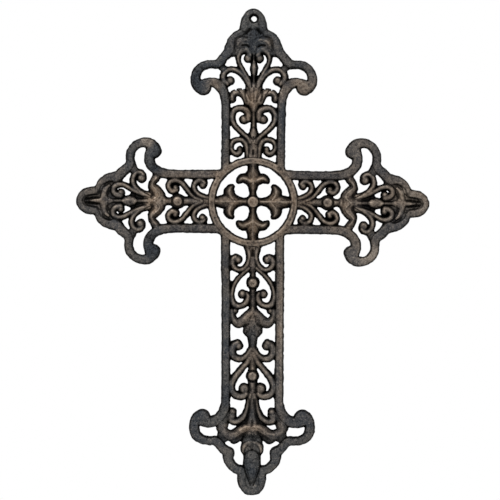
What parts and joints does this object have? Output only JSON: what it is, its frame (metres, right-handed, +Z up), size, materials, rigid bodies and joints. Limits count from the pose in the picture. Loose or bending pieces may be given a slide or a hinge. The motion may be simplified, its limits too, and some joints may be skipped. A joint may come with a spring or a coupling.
{
  "type": "wall cross",
  "caption": "Openwork cast iron cross with lobed ends, scrollwork in the arms and a small cross in a central ring, hung by a hole in its top.",
  "frame": {"origin": "centre of the hanging hole in the top end, on the flat back plane", "axes": "+X to the viewer's right, +Z up along the long arm, +Y into the wall that the back rests on, so the front faces -Y"},
  "size_m": [0.3276, 0.0088, 0.4504],
  "materials": {
    "iron": "bare sand-cast iron, dark blue-grey, rubbed warm brown on the raised edges"
  },
  "bodies": {
    "root": {"cross": "iron"}
  },
  "joints": []
}
